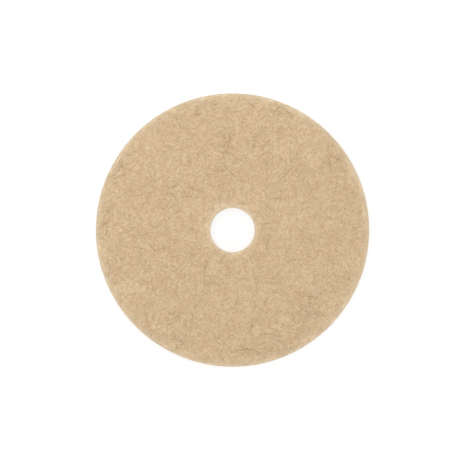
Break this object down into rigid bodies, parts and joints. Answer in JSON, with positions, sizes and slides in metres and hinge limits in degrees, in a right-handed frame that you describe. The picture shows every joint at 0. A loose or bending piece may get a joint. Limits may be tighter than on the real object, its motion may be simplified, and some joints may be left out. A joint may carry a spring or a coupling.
{
  "type": "floor polishing pad",
  "caption": "Round nonwoven fibre disc with a centre hole, gripped by a floor machine's pad driver to polish hard floors.",
  "frame": {"origin": "centre of the underside, on the spin axis, in the plane of the floor", "axes": "+Z is the spin axis and points up out of the upper face, which takes the pad driver; X and Y lie in the floor plane and are alike"},
  "size_m": [0.508, 0.508, 0.0254],
  "materials": {
    "tan_fibre": "matte"
  },
  "bodies": {
    "root": {"polishing_pad": "tan_fibre"}
  },
  "joints": []
}
